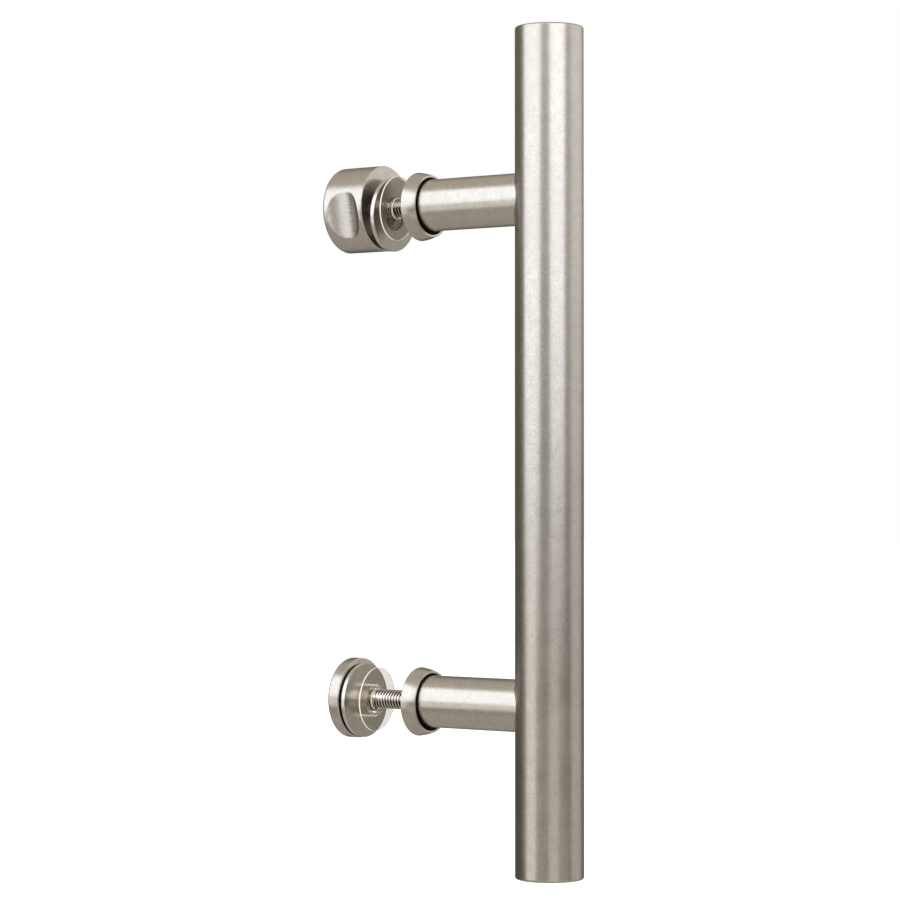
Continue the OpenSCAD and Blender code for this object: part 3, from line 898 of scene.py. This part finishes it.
def clear_plastic(name, skin, sides, rim, painted_side_light, painted_rim_light, mirror=0.0, polish=0.16, outline=0.0):
    """Cloudy clear vinyl. sides and rim are how opaque its flat sides and its edge are, from 0 to 1.

    The two arguments after rim are painted light: emission that its sides and its edge give out in place of
    light from behind. mirror stands for the light that a thick wall of it turns back inside itself, polish is
    its roughness, and outline is how much painted light, as emission, a round wall gets towards its outline.
    """
    material, tree, shader, place_on_piece = begin_material(name)
    shader.inputs["Base Color"].default_value = skin
    shader.inputs["Roughness"].default_value = polish
    shader.inputs["Metallic"].default_value = mirror
    shader.inputs["IOR"].default_value = 1.49
    shader.inputs["Emission Strength"].default_value = 1.0
    coordinates = add(tree, "TexCoord")
    edge = place(tree, edge_of_ring)
    clouded = place(tree, grain, {"Pits per metre": 900.0})
    solid = add(tree, "MapRange", {"To Min": sides, "To Max": rim})
    cloud = add(tree, "MapRange", {"From Min": 0.3, "From Max": 0.7, "To Min": -0.02, "To Max": 0.02})
    opacity = add(tree, "Math", operation="ADD")
    # Painted light: the edge, and for some tubes the sides, give out emission in place of light from behind.
    painted_glow = add(tree, "MapRange", {"To Min": painted_side_light, "To Max": painted_rim_light})
    join(tree, (coordinates.outputs["Normal"], edge.inputs["Normal"]), (edge.outputs["Mask"], solid.inputs["Value"]),
         (place_on_piece, clouded.inputs["Vector"]), (clouded.outputs["Shade"], cloud.inputs["Value"]),
         (solid.outputs["Result"], opacity.inputs[0]), (cloud.outputs["Result"], opacity.inputs[1]),
         (edge.outputs["Mask"], painted_glow.inputs["Value"]))
    cover, light = opacity.outputs[0], painted_glow.outputs["Result"]
    # Painted highlight: emission that grows towards a round wall's outline.
    if outline:
        glancing = add(tree, "LayerWeight", {"Blend": 0.5})
        painted_outline_light = add(tree, "MapRange", {"From Min": 0.55, "From Max": 0.92, "To Max": outline})
        for_cover = add(tree, "MapRange", {"From Min": 0.55, "From Max": 0.92, "To Max": 1 - sides})
        all_painted_light = add(tree, "Math", operation="ADD")
        more_cover = add(tree, "Math", operation="ADD")
        join(tree, (glancing.outputs["Facing"], painted_outline_light.inputs["Value"]),
             (glancing.outputs["Facing"], for_cover.inputs["Value"]), (light, all_painted_light.inputs[0]),
             (painted_outline_light.outputs["Result"], all_painted_light.inputs[1]), (cover, more_cover.inputs[0]),
             (for_cover.outputs["Result"], more_cover.inputs[1]))
        cover, light = more_cover.outputs[0], all_painted_light.outputs[0]
    # The painted light is given out as a warm emission.
    painted_emission = add(tree, "VectorMath", {0: PAINTED_LIGHT_TINT}, operation="SCALE")
    join(tree, (light, painted_emission.inputs["Scale"]), (cover, shader.inputs["Alpha"]),
         (painted_emission.outputs["Vector"], shader.inputs["Emission Color"]))
    return material


# The clear washers' edges and the lower sleeve's outline carry painted light, and the sleeve in the knob is darkened
# as painted shade.
clear_sheet = clear_plastic("clear plastic sheet", (0.34, 0.298, 0.222, 1), 0.28, 0.95, 0.0, 0.80)
clear_tube = clear_plastic("clear plastic tube", (0.88, 0.82, 0.73, 1), 0.60, 0.96, 0.03, 0.0, 0.95, 0.12, 1.1)
shaded_tube = clear_plastic("clear plastic tube in the knob", (0.09, 0.083, 0.072, 1), 0.90, 0.90, 0.0, 0.0, 0.0,
                            0.55)

# %% [markdown]
# ### Which piece has which finish
#
# Each piece takes the first finish in the list whose word is in its name, so one loop dresses them all. The
# clear washers are left out of reflections, because the metal beside them would mirror a hazy disc that the
# photograph doesn't show. The screws and saddle washers inside the bar keep their solids, in plain steel.

# %% Put the finishes on
kinds = [("seat", rubber), ("clear_washer", clear_sheet), ("upper_clear_sleeve", shaded_tube),
         ("lower_clear_sleeve", clear_tube), ("metal_washer", materials["washer"]), ("bar", materials["bar"]),
         ("post", materials["bar"]), ("knob", materials["knob"]), ("stud", materials["stud"]),
         ("", materials["turned"])]
for thing in made:
    finish = next(finish for part, finish in kinds if part in thing.name)
    thing.data.materials.clear()
    thing.data.materials.append(finish)
    thing.visible_glossy = finish is not clear_sheet
for node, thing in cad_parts.items():
    if not thing.hide_render:
        for spot in thing.material_slots:
            spot.material = steel

# %% [markdown]
# ## The studio
#
# Metal is lit with large soft lamps, because it shows the lamps themselves. Two softboxes stand high, one on
# either side of the camera, and each makes one of the bar's two bright bands. Weaker ones stand below them, for
# the light that pale tables throw up. The first two carry the bands on down the bar and make them fade, and the
# last two lighten the metal between the bands at the bar's foot, as the photograph shows it. The floor is plain
# and pale, and the metal doesn't mirror it.

# %% Studio
FLOOR_DROP = 0.9
FLOOR_HALF = 40
level_back = Vector((sin(VIEW_TURN), -cos(VIEW_TURN), 0))


def towards(turn, rise):
    """Unit direction at an angle to the camera's right of the line to the camera, and so far above level."""
    flat = level_back * cos(radians(turn)) + camera_right * sin(radians(turn))
    return flat * cos(radians(rise)) + Vector((0, 0, sin(radians(rise))))


def softbox(name, turn, rise, distance, width, height, radiance, colour):
    """An area light that faces the pull. Its power is pi times its area times its radiance."""
    light = bpy.data.lights.new(name, "AREA")
    light.shape = "RECTANGLE"
    light.size = width
    light.size_y = height
    light.energy = pi * width * height * radiance
    light.color = colour
    lamp = bpy.data.objects.new(name, light)
    direction = towards(turn, rise)
    lamp.location = direction * distance
    lamp.rotation_euler = direction.to_track_quat("Z", "Y").to_euler()
    lamp.visible_camera = False
    bpy.context.scene.collection.objects.link(lamp)
    return lamp


COOL = (0.84, 0.905, 1.0)
PLAIN = (1.0, 0.99, 0.96)
softbox("left softbox", -61.5, 25, 1.3, 1.6, 1.27, 1.265, COOL)
softbox("left table", -65, -13, 1.3, 0.90, 0.42, 0.59, PLAIN)
softbox("right softbox", 26, 25, 1.3, 1.2, 1.20, 1.245, COOL)
softbox("right table", 14, -23, 1.3, 0.80, 0.66, 0.45, PLAIN)
softbox("low table between them", -25, -25.5, 1.3, 0.80, 0.50, 0.26, PLAIN)
softbox("low table on the right", 50, -25.5, 1.3, 0.66, 0.50, 0.36, PLAIN)

floor_mesh = bpy.data.meshes.new("floor")
floor_corners = [(x * FLOOR_HALF, y * FLOOR_HALF, -FLOOR_DROP) for x, y in ((-1, -1), (1, -1), (1, 1), (-1, 1))]
floor_mesh.from_pydata(floor_corners, [], [(0, 1, 2, 3)])
floor = bpy.data.objects.new("floor", floor_mesh)
bpy.context.scene.collection.objects.link(floor)
floor.visible_glossy = False
floor.visible_diffuse = False
pale, tree, shader, place_on_piece = begin_material("pale floor")
shader.inputs["Base Color"].default_value = (0.8, 0.8, 0.8, 1)
shader.inputs["Roughness"].default_value = 0.9
shader.inputs["Emission Color"].default_value = (1, 1, 1, 1)
shader.inputs["Emission Strength"].default_value = 0.93
floor_mesh.materials.append(pale)

# %% [markdown]
# ### The room
#
# Metal shows the room it stands in. The room is painted on the world by compass direction: one strip of walls
# above the level, one below, then a ceiling and a ground. The camera alone sees plain white instead, as the
# cut-out photograph does.

# %% Room
def wall_strip(tree, stops):
    """A colour for each direction round the room. stops are (degrees from the camera towards its right, grey)."""
    ramp = add(tree, "ValToRGB")
    marks = ramp.color_ramp.elements
    for degrees, grey in stops:
        at = (degrees + 180) / 360
        mark = marks[0] if at == 0 else marks[-1] if at == 1 else marks.new(at)
        mark.color = (grey, grey ** 1.06, grey ** 1.16, 1)
    return ramp


world = bpy.data.worlds.new("studio")
bpy.context.scene.world = world
world.use_nodes = True
tree = world.node_tree
tree.nodes.clear()
direction = add(tree, "TexCoord").outputs["Generated"]
to_back = add(tree, "VectorMath", {1: level_back}, operation="DOT_PRODUCT")
to_right = add(tree, "VectorMath", {1: camera_right}, operation="DOT_PRODUCT")
to_top = add(tree, "SeparateXYZ")
compass = add(tree, "Math", operation="ARCTAN2")
round_room = add(tree, "MapRange", {"From Min": -pi, "From Max": pi})
upper_walls = wall_strip(tree, [(-180, 0.17), (-120, 0.14), (-95, 0.30), (-42, 0.42), (-28, 0.58), (0, 0.55),
                                (52, 0.56), (70, 0.56), (78, 0.88), (120, 0.85), (140, 0.55), (160, 0.18),
                                (180, 0.17)])
lower_walls = wall_strip(tree, [(-180, 0.10), (-110, 0.09), (-90, 0.26), (-50, 0.28), (-38, 0.18), (0, 0.17),
                                (52, 0.11), (70, 0.14), (80, 0.49), (118, 0.47), (132, 0.20), (150, 0.10),
                                (180, 0.10)])
step_up = add(tree, "MapRange", {"From Min": -0.04, "From Max": 0.12}, interpolation_type="SMOOTHSTEP")
walls = add(tree, "Mix", data_type="RGBA")
ceiling_share = add(tree, "MapRange", {"From Min": 0.45, "From Max": 0.8}, interpolation_type="SMOOTHSTEP")
ceiling = add(tree, "Mix", {"B": (0.50, 0.47, 0.42, 1)}, data_type="RGBA")
ground_share = add(tree, "MapRange", {"From Min": -0.3, "From Max": -0.7}, interpolation_type="SMOOTHSTEP")
low_ground = wall_strip(tree, [(-180, 0.38), (-120, 0.40), (-90, 0.42), (60, 0.36), (120, 0.38), (180, 0.38)])
ground = add(tree, "Mix", data_type="RGBA")
room = add(tree, "Background")
backdrop = add(tree, "Background", {"Color": (1, 1, 1, 1)})
path = add(tree, "LightPath")
choose = add(tree, "MixShader")
output = add(tree, "OutputWorld")
join(tree, (direction, to_back.inputs[0]), (direction, to_right.inputs[0]), (direction, to_top.inputs[0]),
     (to_right.outputs["Value"], compass.inputs[0]), (to_back.outputs["Value"], compass.inputs[1]),
     (compass.outputs[0], round_room.inputs["Value"]), (round_room.outputs["Result"], upper_walls.inputs["Fac"]),
     (round_room.outputs["Result"], lower_walls.inputs["Fac"]), (to_top.outputs["Z"], step_up.inputs["Value"]),
     (round_room.outputs["Result"], low_ground.inputs["Fac"]), (low_ground.outputs["Color"], ground.inputs["B"]),
     (step_up.outputs["Result"], walls.inputs["Factor"]), (lower_walls.outputs["Color"], walls.inputs["A"]),
     (upper_walls.outputs["Color"], walls.inputs["B"]), (to_top.outputs["Z"], ceiling_share.inputs["Value"]),
     (to_top.outputs["Z"], ground_share.inputs["Value"]), (walls.outputs["Result"], ceiling.inputs["A"]),
     (ceiling_share.outputs["Result"], ceiling.inputs["Factor"]), (ceiling.outputs["Result"], ground.inputs["A"]),
     (ground_share.outputs["Result"], ground.inputs["Factor"]), (ground.outputs["Result"], room.inputs["Color"]),
     (path.outputs["Is Camera Ray"], choose.inputs["Fac"]), (room.outputs[0], choose.inputs[1]),
     (backdrop.outputs[0], choose.inputs[2]), (choose.outputs[0], output.inputs["Surface"]))
bpy.context.scene.view_settings.view_transform = "Standard"
